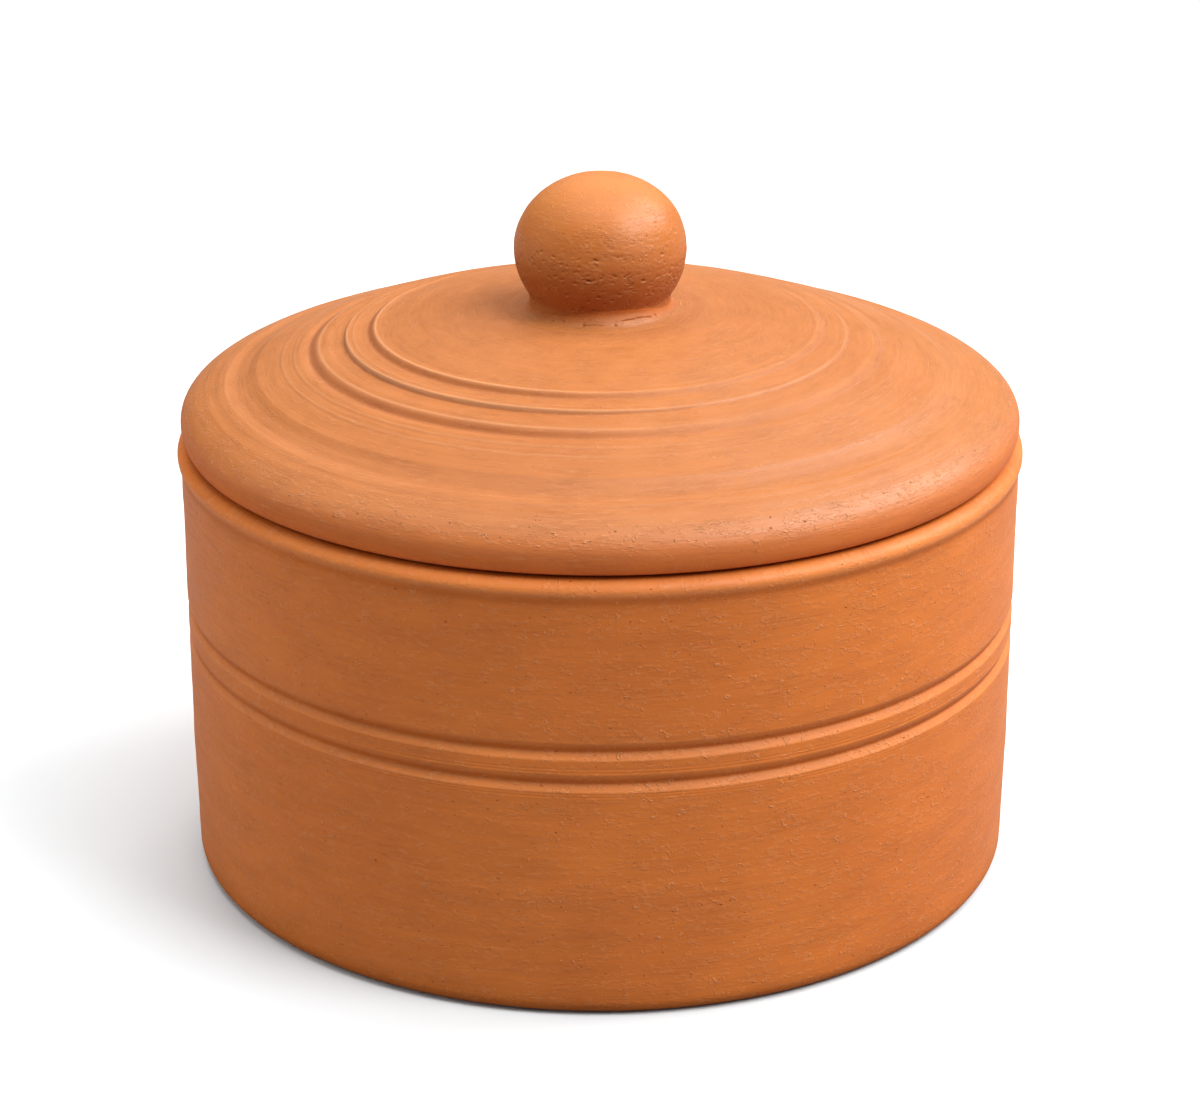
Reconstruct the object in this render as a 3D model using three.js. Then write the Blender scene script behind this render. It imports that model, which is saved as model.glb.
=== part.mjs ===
// A lidded terracotta curd pot: a straight-sided thrown pot with a rolled rim, and a domed lid
// with a ball knob. Millimetres, +Z up, standing on z = 0, every piece turned about the z axis.
import * as THREE from 'three';

// Pot: overall size, walls and foot
const RIM_RADIUS = 85; // at the widest of the rolled rim
const POT_HEIGHT = 88.25; // foot to the seat that the lid rests on
const WALL_THICKNESS = 7;
const FLOOR_THICKNESS = 8;
const HEEL_RADIUS = 3; // round between the foot and the wall
const INNER_CORNER_RADIUS = 10; // round between the floor and the wall inside
const FOOT_LEAN = 0.4; // how far the wall leans in above the heel
const LEAN_HEIGHT = 24; // the wall is upright above this

// Pot: rolled rim
const RIM_PROUD = 0.7; // rim past the wall
const RIM_DROP = 2.2; // widest point of the rim below the seat
const RIM_UNDERSIDE = 2.8; // widest point of the rim above the crease under it
const RIM_SHOULDER = 3.4; // widest point of the rim out past the flat seat
const MOUTH_ROUND = 1.6; // round between the seat and the mouth

// Pot: the pair of grooves cut round the belly
const GROOVE_HEIGHTS = [48.2, 54.6];
const GROOVE_DEPTH = 0.9;
const GROOVE_ABOVE = 1.9; // slope above the crease
const GROOVE_BELOW = 1.5; // slope below the crease

// Lid: plate with a thick round edge
const LID_INSET = 0.95; // lid edge in from the widest of the rim
const LID_THICKNESS = 8;
const LID_RISE = 25.4; // seat to the flat land under the knob
const EDGE_MIDDLE = 4.35; // widest point of the edge above the seat
const EDGE_CREST = 11.5; // top of the edge above the seat
const EDGE_UNDERCUT = 3.7; // widest point of the edge out past the lid's flat underside
const EDGE_SHOULDER = 9; // widest point of the edge out past its crest
const EDGE_SLOPE = -0.35; // at the crest, where the edge begins to fall
const EDGE_FULLNESS = 0.5; // share of the way to a square corner that the edge bulges
const HOLLOW_WIDTH = 6.5; // hollow between the crest of the edge and the dome
const HOLLOW_START_SLOPE = -0.6;
const HOLLOW_END_SLOPE = 0;
const DOME_FOOT = 13.9; // where the dome meets the hollow, above the seat
const DOME_START_SLOPE = 0;
const DOME_END_SLOPE = -0.38;

// Lid: throwing rings on the dome, from the knob outwards. Each is a lip with a fall outside it.
const THROWING_RINGS = [
  { fromEdge: 39.7, lip: 0.2, fall: 1.3, drop: 0.3 },
  { fromEdge: 34.2, lip: 0.25, fall: 0.9, drop: 0.4 },
  { fromEdge: 28.7, lip: 0.2, fall: 2.2, drop: 0.35 },
];
const RING_RUN = 1.4; // each side of a throwing ring, where the dome runs into it

// Lid: locating ring luted to its underside
const MOUTH_CLEARANCE = 1.6; // locating ring to the mouth, all round
const LOCATING_RING_WALL = 5;
const LOCATING_RING_DEPTH = 8;
const LAND_MARGIN = 0.7; // flat land past the piece that is luted to it

// Knob and the collar of slip round its neck
const KNOB_RADIUS = 17.2;
const KNOB_UPPER_HEIGHT = 15; // widest point to the top
const KNOB_LOWER_HEIGHT = 16; // vertical half axis of the oval below the widest point
const NECK_RADIUS = 14.05;
const NECK_HEIGHT = 2.9;
const COLLAR_GAP = 0.3; // collar to the neck
const COLLAR_WIDTH = 4.6;
const COLLAR_HEIGHT = 2.3;
const COLLAR_EDGE = 0.35; // thickness of the collar at its outer edge

// Facets
const WIDE_SIDES = 60;
const NARROW_SIDES = 44;

// What follows from the dimensions above
const wallRadius = RIM_RADIUS - RIM_PROUD;
const mouthRadius = wallRadius - WALL_THICKNESS;
const lidRadius = RIM_RADIUS - LID_INSET;
const locatingRadius = mouthRadius - MOUTH_CLEARANCE;
const locatingBore = locatingRadius - LOCATING_RING_WALL;
const collarBore = NECK_RADIUS + COLLAR_GAP;
const collarRadius = collarBore + COLLAR_WIDTH;
const landRadius = collarRadius + LAND_MARGIN;
const crestRadius = lidRadius - EDGE_SHOULDER;
const domeRadius = crestRadius - HOLLOW_WIDTH;

const QUARTER = Math.PI / 2;

const terracotta = new THREE.MeshStandardMaterial({ color: 0xc9763f, roughness: 0.72, metalness: 0 });
const lidClay = new THREE.MeshStandardMaterial({ color: 0xdc8d59, roughness: 0.68, metalness: 0 });
const knobClay = new THREE.MeshStandardMaterial({ color: 0xcf7c48, roughness: 0.64, metalness: 0 });
const slip = new THREE.MeshStandardMaterial({ color: 0xe09a70, roughness: 0.85, metalness: 0 });

function point(radius, height) {
  return new THREE.Vector2(radius, height);
}

// Points of an arc of an ellipse about (radius, height), clockwise when its angle falls.
function arc(radius, height, across, up, start, end, steps) {
  return new THREE.EllipseCurve(radius, height, across, up, start, end, end < start).getPoints(steps);
}

// A curve between two points with a given slope at each. Equal steps along it are equal steps of radius.
function slopedCurve(start, startSlope, end, endSlope) {
  const third = (end.x - start.x) / 3;
  const afterStart = point(start.x + third, start.y + third * startSlope);
  const beforeEnd = point(end.x - third, end.y - third * endSlope);
  return new THREE.CubicBezierCurve(start, afterStart, beforeEnd, end);
}

// Turns a profile about the z axis. A profile runs anticlockwise, seen with the axis on its left.
function turned(name, profile, sides, material) {
  const geometry = new THREE.LatheGeometry(profile, sides);
  geometry.rotateX(QUARTER);
  const mesh = new THREE.Mesh(geometry, material);
  mesh.name = name;
  return mesh;
}

function grooveProfile(height) {
  return [
    point(wallRadius, height - GROOVE_BELOW),
    point(wallRadius - GROOVE_DEPTH, height),
    point(wallRadius, height + GROOVE_ABOVE),
  ];
}

function makePot() {
  const heelTop = wallRadius - FOOT_LEAN;
  const rimMiddle = POT_HEIGHT - RIM_DROP;
  const seatOuter = RIM_RADIUS - RIM_SHOULDER;
  const mouthRoundHeight = POT_HEIGHT - MOUTH_ROUND;
  const cornerRadius = mouthRadius - INNER_CORNER_RADIUS;
  const cornerHeight = FLOOR_THICKNESS + INNER_CORNER_RADIUS;
  const profile = [
    point(0, 0),
    ...arc(heelTop - HEEL_RADIUS, HEEL_RADIUS, HEEL_RADIUS, HEEL_RADIUS, -QUARTER, 0, 6),
    point(wallRadius, LEAN_HEIGHT),
    ...GROOVE_HEIGHTS.flatMap(grooveProfile),
    ...arc(wallRadius, rimMiddle, RIM_PROUD, RIM_UNDERSIDE, -QUARTER, 0, 5),
    ...arc(seatOuter, rimMiddle, RIM_SHOULDER, RIM_DROP, 0, QUARTER, 5).slice(1),
    ...arc(mouthRadius + MOUTH_ROUND, mouthRoundHeight, MOUTH_ROUND, MOUTH_ROUND, QUARTER, Math.PI, 3),
    ...arc(cornerRadius, cornerHeight, INNER_CORNER_RADIUS, INNER_CORNER_RADIUS, 0, -QUARTER, 5),
    point(0, FLOOR_THICKNESS),
  ];
  return turned('pot_body', profile, WIDE_SIDES, terracotta);
}

// The dome, from the flat land under the knob out to the hollow inside the lid's edge.
const dome = slopedCurve(
  point(landRadius, LID_RISE), DOME_START_SLOPE,
  point(domeRadius, DOME_FOOT), DOME_END_SLOPE,
);

function domeHeight(radius) {
  const along = (radius - landRadius) / (domeRadius - landRadius);
  return dome.getPoint(THREE.MathUtils.clamp(along, 0, 1)).y;
}

function domePoint(radius, raise) {
  return point(radius, domeHeight(radius) + raise);
}

function throwingRingProfile({ fromEdge, lip, fall, drop }) {
  const lipRadius = lidRadius - fromEdge;
  return [
    domePoint(lipRadius - RING_RUN, 0),
    domePoint(lipRadius, lip),
    domePoint(lipRadius + fall, -drop),
    domePoint(lipRadius + fall + RING_RUN, 0),
  ];
}

// The underside of the lid follows the dome at the lid's thickness, then turns down to the seat.
function makeLidPlate() {
  const undersideEdge = locatingBore - LAND_MARGIN;
  const hollowEdge = undersideEdge - EDGE_UNDERCUT;
  const firstRing = lidRadius - THROWING_RINGS[0].fromEdge - RING_RUN;
  const crest = point(crestRadius, EDGE_CREST);
  const hollow = slopedCurve(point(domeRadius, DOME_FOOT), HOLLOW_START_SLOPE, crest, HOLLOW_END_SLOPE);
  const bulge = EDGE_SHOULDER * EDGE_FULLNESS;
  const edge = new THREE.CubicBezierCurve(
    crest,
    point(crestRadius + bulge, EDGE_CREST + bulge * EDGE_SLOPE),
    point(lidRadius, THREE.MathUtils.lerp(EDGE_MIDDLE, EDGE_CREST, EDGE_FULLNESS)),
    point(lidRadius, EDGE_MIDDLE),
  );
  const undersideSteps = 6;
  const underside = [];
  for (let step = 0; step <= undersideSteps; step += 1) {
    const radius = THREE.MathUtils.lerp(hollowEdge, landRadius, step / undersideSteps);
    underside.push(domePoint(radius, -LID_THICKNESS));
  }
  const undersideTurn = underside[0].y;
  const profile = [
    point(0, LID_RISE - LID_THICKNESS),
    ...underside.reverse(),
    ...arc(hollowEdge, 0, EDGE_UNDERCUT, undersideTurn, QUARTER, 0, 4).slice(1),
    ...arc(lidRadius - EDGE_UNDERCUT, EDGE_MIDDLE, EDGE_UNDERCUT, EDGE_MIDDLE, -QUARTER, 0, 5),
    ...edge.getPoints(7).reverse().slice(1),
    ...hollow.getPoints(4).reverse().slice(1),
    ...THROWING_RINGS.flatMap(throwingRingProfile).reverse(),
    domePoint(THREE.MathUtils.lerp(landRadius, firstRing, 0.5), 0),
    point(landRadius, LID_RISE),
    point(0, LID_RISE),
  ];
  return turned('lid_plate', profile, WIDE_SIDES, lidClay);
}

function makeLocatingRing() {
  const toe = LOCATING_RING_WALL / 2;
  const toeHeight = toe - LOCATING_RING_DEPTH;
  const profile = [
    point(locatingBore, 0),
    ...arc(locatingBore + toe, toeHeight, toe, toe, -Math.PI, 0, 6),
    point(locatingRadius, 0),
    point(locatingBore, 0),
  ];
  return turned('lid_locating_ring', profile, WIDE_SIDES, lidClay);
}

// The ball stands on its neck: the oval below the widest point ends where it is as wide as the neck.
function makeKnob() {
  const neckAngle = -Math.acos(NECK_RADIUS / KNOB_RADIUS);
  const neckTop = LID_RISE + NECK_HEIGHT;
  const middle = neckTop - KNOB_LOWER_HEIGHT * Math.sin(neckAngle);
  const profile = [
    point(0, LID_RISE),
    point(NECK_RADIUS, LID_RISE),
    ...arc(0, middle, KNOB_RADIUS, KNOB_LOWER_HEIGHT, neckAngle, 0, 5),
    ...arc(0, middle, KNOB_RADIUS, KNOB_UPPER_HEIGHT, 0, QUARTER, 8).slice(1, -1),
    point(0, middle + KNOB_UPPER_HEIGHT),
  ];
  return turned('knob', profile, NARROW_SIDES, knobClay);
}

function makeCollar() {
  const top = LID_RISE + COLLAR_HEIGHT;
  const profile = [
    point(collarBore, LID_RISE),
    point(collarRadius, LID_RISE),
    ...arc(collarRadius, top, COLLAR_WIDTH, COLLAR_HEIGHT - COLLAR_EDGE, -QUARTER, -Math.PI, 5),
    point(collarBore, LID_RISE),
  ];
  return turned('knob_collar', profile, NARROW_SIDES, slip);
}

// The lid is one group, placed by its seat on the rim.
const lid = new THREE.Group();
lid.name = 'lid';
lid.position.z = POT_HEIGHT;
lid.add(makeLidPlate(), makeLocatingRing(), makeKnob(), makeCollar());

const curdPot = new THREE.Group();
curdPot.name = 'curd_pot';
curdPot.add(makePot(), lid);

export default curdPot;
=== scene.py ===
"""Looks of a lidded terracotta curd pot: its thrown clay, its finishes, the studio and the camera."""

import math

import bmesh
import bpy
import numpy as np
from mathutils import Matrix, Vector


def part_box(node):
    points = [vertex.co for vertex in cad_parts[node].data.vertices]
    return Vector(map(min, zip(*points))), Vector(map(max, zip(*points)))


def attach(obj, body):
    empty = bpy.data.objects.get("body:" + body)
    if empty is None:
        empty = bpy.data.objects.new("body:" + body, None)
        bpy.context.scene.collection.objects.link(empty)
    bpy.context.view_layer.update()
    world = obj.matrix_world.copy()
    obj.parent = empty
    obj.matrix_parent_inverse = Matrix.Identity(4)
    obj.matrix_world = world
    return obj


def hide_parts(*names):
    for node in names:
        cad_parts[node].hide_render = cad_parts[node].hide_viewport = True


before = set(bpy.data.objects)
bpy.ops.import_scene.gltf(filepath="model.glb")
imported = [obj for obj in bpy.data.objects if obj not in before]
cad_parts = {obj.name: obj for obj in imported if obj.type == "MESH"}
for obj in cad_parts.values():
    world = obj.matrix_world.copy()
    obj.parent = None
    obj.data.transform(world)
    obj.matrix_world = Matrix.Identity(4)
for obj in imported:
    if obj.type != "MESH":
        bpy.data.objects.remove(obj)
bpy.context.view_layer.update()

# Sizes are in millimetres, as (radius, height) about the z axis. Angles are from the front, to the right.
METRES = 0.001

# Pot. Its rim is a little smaller than the CAD's, which leaves room for a wall that isn't quite round.
RIM_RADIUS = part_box("pot_body")[1].x / METRES - 0.1
SEAT_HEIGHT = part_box("pot_body")[1].z / METRES
RIM_PROUD = 0.7
WALL_RADIUS = RIM_RADIUS - RIM_PROUD
FOOT_LEAN = 0.4
FOOT_RADIUS = WALL_RADIUS - FOOT_LEAN
HEEL_ROUND = 3.0
LEAN_HEIGHT = 24.0
GROOVE_HEIGHTS = (48.2, 54.6)
GROOVE_DEPTH = 0.9
GROOVE_ABOVE = 1.9
GROOVE_BELOW = 1.5
GROOVES_MIDDLE = 51.0
GROOVES_DEEPEST = math.radians(28)
SCRIBED_LINES = (45.75, 46.3, 50.7, 51.3)
SCRIBED_DEPTH = 0.045
RIM_CORNER = SEAT_HEIGHT - 2.2
RIM_CREASE = RIM_CORNER - 2.8
RIM_SHOULDER = RIM_RADIUS - 3.3
MOUTH_RADIUS = RIM_RADIUS - 7.6
MOUTH_ROUND = 1.6
FLOOR_HEIGHT = 8.0
INNER_CORNER = 10.0
POT_SIDES = 296
# Steps between the rows of the wall's mesh, finer in the band that holds the grooves.
WALL_STEP = 0.8
GROOVED_BAND = (44.8, 57.4)
GROOVED_STEP = 0.14

# Lid. Its edge is a little smaller than the CAD's, for the same reason.
LID_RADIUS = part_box("lid_plate")[1].x / METRES - 0.06
LAND_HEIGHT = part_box("lid_plate")[1].z / METRES
LAND_RADIUS = 19.65
LID_THICKNESS = 8.0
UNDERSIDE_EDGE = 70.0
HOLLOW_TURN = 3.7
SEAT_EDGE = 79.7
EDGE_LIFT = 0.25
EDGE_MIDDLE = SEAT_HEIGHT + 4.35
CREST = (75.0, SEAT_HEIGHT + 11.5)
DOME_FOOT = (68.5, SEAT_HEIGHT + 13.9)
DOME_FOOT_SLOPE = -0.38
LID_SIDES = 320
# Steps between the rows of the dome's mesh: inside the band of throwing rings, in it, and outside it.
INNER_DOME_STEP = 0.9
RINGED_BAND = (41.0, 64.4)
RINGED_STEP = 0.18
OUTER_DOME_STEP = 0.5

# Throwing rings on the lid, about a centre a little to the left. Each is a lip, a fall outside it, and a run back
# to the dome. Its shade is how strong the painted shade on the fall is.
RINGS_CENTRE = (-0.7, 0.0)
RINGS_DEEPEST = math.radians(-70)
THROWING_RINGS = (
    {"lip": 44.0, "rise": 0.24, "fall": 1.5, "drop": 0.4, "run": 3.4, "shade": 1.5},
    {"lip": 48.4, "rise": 0.06, "fall": 0.5, "drop": 0.06, "run": 0.6, "shade": 0.1},
    {"lip": 49.8, "rise": 0.3, "fall": 0.4, "drop": 0.5, "run": 3.6, "shade": 2.2},
    {"lip": 55.2, "rise": 0.18, "fall": 2.1, "drop": 0.46, "run": 2.2, "shade": 1.6},
    {"lip": 60.2, "rise": 0.07, "fall": 0.5, "drop": 0.07, "run": 1.4, "shade": 0.2},
    {"lip": 62.6, "rise": 0.08, "fall": 0.6, "drop": 0.07, "run": 1.6, "shade": 0.2},
    {"lip": 73.9, "rise": 0.05, "fall": 0.5, "drop": 0.03, "run": 0.6, "shade": 0.06},
    {"lip": 75.4, "rise": 0.05, "fall": 0.6, "drop": 0.03, "run": 1.2, "shade": 0.06},
)

# Locating ring
RING_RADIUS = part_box("lid_locating_ring")[1].x / METRES
RING_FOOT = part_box("lid_locating_ring")[0].z / METRES
RING_WALL = 5.0

# Knob
KNOB_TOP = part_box("knob")[1].z / METRES
KNOB_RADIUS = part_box("knob")[1].x / METRES
KNOB_MIDDLE = KNOB_TOP - 15.0
NECK_RADIUS = 14.05
NECK_TOP = LAND_HEIGHT + 2.9
KNOB_DENTS = 560
KNOB_SIDES = 460

# Flare of slip round the knob's neck: its least height, the swell where it is thickest, and the round of its curve.
COLLAR_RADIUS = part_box("knob_collar")[1].x / METRES
SLIP_LEAST = 1.0
SLIP_SWELL = 2.7
SLIP_THICKEST = math.radians(15)
SLIP_ROUND = 3.4
# Angle in degrees of the pale smear of slip on the flare, on its lit right-front, where it also serves as a painted
# highlight
SMEAR_PLACE = 22
COLLAR_ROWS = 56
COLLAR_SIDES = 480

# Cracks in the slip: the angles in degrees that they run between, how far down the flare as an angle of its curve,
# depth and width.
SLIP_CRACKS = (
    {"start": 14, "end": 44, "down": 38, "depth": 0.32, "width": 0.085},
    {"start": -14, "end": 4, "down": 52, "depth": 0.24, "width": 0.07},
    {"start": 150, "end": 204, "down": 30, "depth": 0.3, "width": 0.12},
)
# Holes in the slip, as angle in degrees, how far down the flare, and size.
SLIP_HOLES = ((-12, 48, 0.34), (-28, 42, 0.22), (-37, 45, 0.28), (11, 50, 0.24), (47, 36, 0.22), (125, 40, 0.3))
HOLE_DEPTH = 0.35

# Deeper, redder colour painted into shaded undersides and creases as painted shade, and the shades that marks in the
# clay multiply its colour by
SHADE_TINT_COLOUR = (0.6, 0.137, 0.014, 1)
PATCH_SHADE = (0.86, 0.83, 0.8, 1)
LINE_SHADE = (0.62, 0.58, 0.54, 1)
DRAG_SHADE = (1.2, 1.28, 1.4, 1)
DASH_SHADE = (0.72, 0.62, 0.54, 1)
SAND_SHADE = (0.8, 0.78, 0.76, 1)
SCORE_SHADE = (0.7, 0.64, 0.6, 1)
# Painted shade: multiplies the colour in grooves, hollows, cracks, undersides and round the heel and knob
CREASE_SHADE = (0.42, 0.34, 0.28, 1)
PIT_SHADE = (0.5, 0.36, 0.25, 1)
# Pale flecks on the lid and knob, and the colour of the painted highlights on their lips and crown
LID_FLECK = (0.66, 0.32, 0.15, 1)

# Studio, in metres and watts. Only the lights with a sheen are mirrored in the clay.
FLOOR_SIZE = 6.0
FLOOR_SEEN = (0.625, 0.65, 0.66, 1)
FLOOR_BOUNCED = (0.32, 0.32, 0.32, 1)
ROOM_LIGHT = 0.26
LIGHTS_AIM = (0, 0, 0.06)
SOFTBOXES = (
    {"name": "right_softbox", "place": (0.84, -0.48, 1.15), "size": 0.7, "power": 20.0, "sheen": True},
    {"name": "far_right_softbox", "place": (1.05, 0.35, 1.0), "size": 0.7, "power": 14.8, "sheen": True},
    {"name": "overhead_softbox", "place": (0.0, 0.0, 1.5), "size": 1.3, "power": 22.5, "sheen": False},
    {"name": "back_softbox", "place": (0.0, 1.4, 0.6), "size": 1.2, "power": 20.0, "sheen": False},
    {"name": "left_softbox", "place": (-1.4, 0.0, 0.6), "size": 1.0, "power": 8.5, "sheen": False},
)

# Camera, in the photograph's own frame
IMAGE_WIDTH = 1200
CAMERA_DISTANCE = 680.0
CAMERA_ELEVATION = math.radians(21.4)
CAMERA_TARGET = (0.0, 0.0, 61.78)
FOCAL_PIXELS = 3319.4


def straight(start, end, step):
    """Points from start to end, about a step apart."""
    start, end = np.array(start, float), np.array(end, float)
    count = max(2, round(np.linalg.norm(end - start) / step) + 1)
    return start + np.linspace(0, 1, count)[:, None] * (end - start)


def oval(centre, across, up, start, end, step):
    """Points of an arc of an ellipse, from one angle in degrees to another."""
    count = max(3, round(math.radians(abs(end - start)) * max(across, up) / step) + 1)
    turn = np.radians(np.linspace(start, end, count))
    return np.stack([centre[0] + across * np.cos(turn), centre[1] + up * np.sin(turn)], 1)


def bend(start, leave, arrive, end, step):
    """Points of a cubic curve that leaves start towards one handle and comes to end from another."""
    corners = np.array([start, leave, arrive, end], float)
    count = max(3, round(np.linalg.norm(np.diff(corners, axis=0), axis=1).sum() / step) + 1)
    t = np.linspace(0, 1, count)[:, None]
    shares = ((1 - t) ** 3, 3 * t * (1 - t) ** 2, 3 * t**2 * (1 - t), t**3)
    return sum(share * corner for share, corner in zip(shares, corners))


def chain(*runs):
    """Runs of points end to end, without the points that repeat."""
    points = np.concatenate(runs)
    keep = np.r_[True, np.linalg.norm(np.diff(points, axis=0), axis=1) > 1e-4]
    return points[keep]


def soften(values, passes):
    """Rounds the corners in a row of values and leaves its ends alone."""
    for _ in range(passes):
        values = np.r_[values[0], (values[:-2] + 2 * values[1:-1] + values[2:]) / 4, values[-1]]
    return values


def smoothstep(low, high, value):
    t = np.clip((value - low) / (high - low), 0, 1)
    return t * t * (3 - 2 * t)


def band(value, start, full, fading, end):
    """1 from full to fading, and smoothly down to 0 at start and at end."""
    return smoothstep(start, full, value) * (1 - smoothstep(fading, end, value))


def hump(value, middle, width):
    return np.exp(-(((value - middle) / width) ** 2))


def turn_from(place, angle):
    """How far round an angle lies from a place, in degrees, from -180 to 180."""
    return (angle - place + 180) % 360 - 180


def wander(value, seed, waves, size):
    """A smooth random wander. Round a turned piece, value is the angle and waves are whole numbers."""
    chance = np.random.default_rng(seed)
    total = np.zeros_like(value)
    for wave in waves:
        total = total + chance.uniform(0.4, 1) * np.cos(wave * value + chance.uniform(0, 2 * math.pi))
    return size * total / len(waves) ** 0.5


def angles(sides):
    """The angle of each side of a turned piece, in radians from the front, to the right."""
    return np.arange(sides) * 2 * math.pi / sides


def turned_piece(name, radius, height, sides, marks):
    """A piece from grids of radius and height: a row to each point of its profile, a column to each side.

    The profile runs anticlockwise, seen with the axis on its left. marks are kept on the mesh for its finish.
    """
    angle = angles(sides)
    radius, height = np.broadcast_arrays(radius, height + 0 * angle)
    places = np.stack([radius * np.sin(angle), -radius * np.cos(angle), height], 2) * METRES
    corner = np.arange(radius.size).reshape(radius.shape)
    beside = np.roll(corner, -1, 1)
    faces = np.stack([corner, beside, np.roll(beside, -1, 0), np.roll(corner, -1, 0)], 2)
    mesh = bpy.data.meshes.new(name)
    mesh.from_pydata(places.reshape(-1, 3), [], faces.reshape(-1, 4))
    for mark, grid in marks.items():
        layer = mesh.attributes.new(mark, "FLOAT", "POINT")
        layer.data.foreach_set("value", np.broadcast_to(grid, radius.shape).astype(np.float32).ravel())
    shell = bmesh.new()
    shell.from_mesh(mesh)
    bmesh.ops.remove_doubles(shell, verts=shell.verts, dist=1e-7)
    shell.to_mesh(mesh)
    shell.free()
    mesh.shade_smooth()
    piece = bpy.data.objects.new(name, mesh)
    bpy.context.scene.collection.objects.link(piece)
    return piece


def place_piece(piece, body, node, finish):
    """Gives a piece its finish and its place on a body, and lets it stand for a node of the frame."""
    piece.data.materials.append(finish)
    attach(piece, body)
    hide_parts(node)


def wall_cuts(height):
    """How far the pair of grooves, and the lines scribed beside them, cut into the wall at each height."""
    depth = np.zeros(height.size)
    height = height.ravel()
    for crease in GROOVE_HEIGHTS:
        corners = (crease - GROOVE_BELOW, crease, crease + GROOVE_ABOVE)
        depth = np.maximum(depth, np.interp(height, corners, (0, GROOVE_DEPTH, 0)))
    depth = soften(depth, 1)
    for line in SCRIBED_LINES:
        depth = depth + SCRIBED_DEPTH * (hump(height, line, 0.16) - 0.5 * hump(height, line - 0.3, 0.18))
    return depth


def pot_wall():
    """The outside of the wall, from the heel up to the crease under the rim."""
    band_foot, band_top = GROOVED_BAND
    height = np.r_[
        np.arange(HEEL_ROUND + WALL_STEP, band_foot, WALL_STEP),
        np.arange(band_foot, band_top, GROOVED_STEP),
        np.arange(band_top, RIM_CREASE - 0.3, WALL_STEP),
    ]
    leaning = np.interp(height, (HEEL_ROUND, LEAN_HEIGHT), (FOOT_RADIUS, WALL_RADIUS))
    plain = (1 - hump(height, GROOVES_MIDDLE, 6)) * (height < RIM_CREASE - 2)
    throwing = plain * wander(height, 3, (0.21, 0.35, 0.6, 0.95), 0.05)
    return np.stack([leaning - wall_cuts(height) + throwing, height], 1)


def pot_rim():
    """The rim: a roll that swells out of the wall, and its round top up to the seat."""
    crease, corner, seat = (WALL_RADIUS, RIM_CREASE), (RIM_RADIUS, RIM_CORNER), (RIM_SHOULDER, SEAT_HEIGHT)
    return chain(
        bend(crease, (WALL_RADIUS, RIM_CREASE + 1.4), (RIM_RADIUS, RIM_CORNER - 1.0), corner, 0.14),
        bend(corner, (RIM_RADIUS, RIM_CORNER + 1.3), (RIM_SHOULDER + 1.6, SEAT_HEIGHT), seat, 0.2),
    )


def pot_profile():
    """The pot's profile, from the middle of the foot, up the outside and down the inside to the floor."""
    inner_corner = (MOUTH_RADIUS - INNER_CORNER, FLOOR_HEIGHT + INNER_CORNER)
    mouth_round = (MOUTH_RADIUS + MOUTH_ROUND, SEAT_HEIGHT - MOUTH_ROUND)
    return chain(
        straight((0, 0), (FOOT_RADIUS - HEEL_ROUND, 0), 9),
        oval((FOOT_RADIUS - HEEL_ROUND, HEEL_ROUND), HEEL_ROUND, HEEL_ROUND, -90, 0, 0.4),
        pot_wall(),
        pot_rim(),
        oval(mouth_round, MOUTH_ROUND, MOUTH_ROUND, 90, 180, 0.4),
        straight((MOUTH_RADIUS, mouth_round[1]), (MOUTH_RADIUS, inner_corner[1]), 1.6),
        oval(inner_corner, INNER_CORNER, INNER_CORNER, 0, -90, 1.5),
        straight((inner_corner[0], FLOOR_HEIGHT), (0, FLOOR_HEIGHT), 2.2),
    )


def make_pot():
    profile = pot_profile()
    radius, height = profile[:, :1], profile[:, 1:]
    angle = angles(POT_SIDES)
    outside = smoothstep(WALL_RADIUS - 2, WALL_RADIUS - 1, radius)
    inside = (radius < MOUTH_RADIUS + 0.01) * (height > FLOOR_HEIGHT - 1)

    # A wall not quite round, and the rings that fingers leave inside
    upright = smoothstep(40, 80, radius) * band(height, 0, 6, 82, 88)
    out_of_round = wander(angle, 5, (2, 3, 5), 0.09) + wander(angle + 0.02 * height, 6, (7, 11, 16), 0.02)
    finger_rings = band(height, 16, 24, 74, 80) * wander(height, 8, (0.7, 1.1, 1.5), 0.16)
    floor_rings = band(radius, 0, 6, 55, 66) * wander(radius, 9, (0.5, 0.8, 1.2), 0.14)

    # Grooves cut deepest in front, and partly filled on the left and at the back
    cut_deep = smoothstep(-0.3, 0.7, np.cos(angle - GROOVES_DEEPEST))
    filled = outside * 0.35 * wall_cuts(height)[:, None] * (1 - cut_deep)
    shown = 0.55 + 0.45 * cut_deep
    # Painted highlight on the grooves' up-facing lower facets and on the rim's top; painted shade in the grooves,
    # under the rim's roll and round the heel by the floor
    facets = sum(
        band(height, crease - GROOVE_BELOW - 0.2, crease - GROOVE_BELOW, crease - 0.3, crease)
        for crease in GROOVE_HEIGHTS
    )
    creases = sum(hump(height, crease + 0.5, 0.7) for crease in GROOVE_HEIGHTS)
    rim = smoothstep(RIM_CORNER - 1, RIM_CORNER, height)
    under_rim_shade = hump(height, RIM_CORNER - 1.7, 1.0)
    heel = 1.5 * hump(height, 0, 3.0) * smoothstep(76, 80, radius)
    marks = {
        "highlight_and_wear": outside * shown * (0.38 * facets + 0.25 * rim),
        "shade_tint": outside * shown * (0.7 * creases + 0.7 * under_rim_shade),
        "crease": outside * shown * (creases + 0.3 * under_rim_shade) + heel,
        "nicked": smoothstep(66, 70, radius) * (0.5 + outside * (0.5 + 0.3 * facets)),
    }
    radius = radius + upright * out_of_round + filled + inside * finger_rings
    return turned_piece("thrown_pot", radius, height + inside * floor_rings, POT_SIDES, marks)


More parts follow.
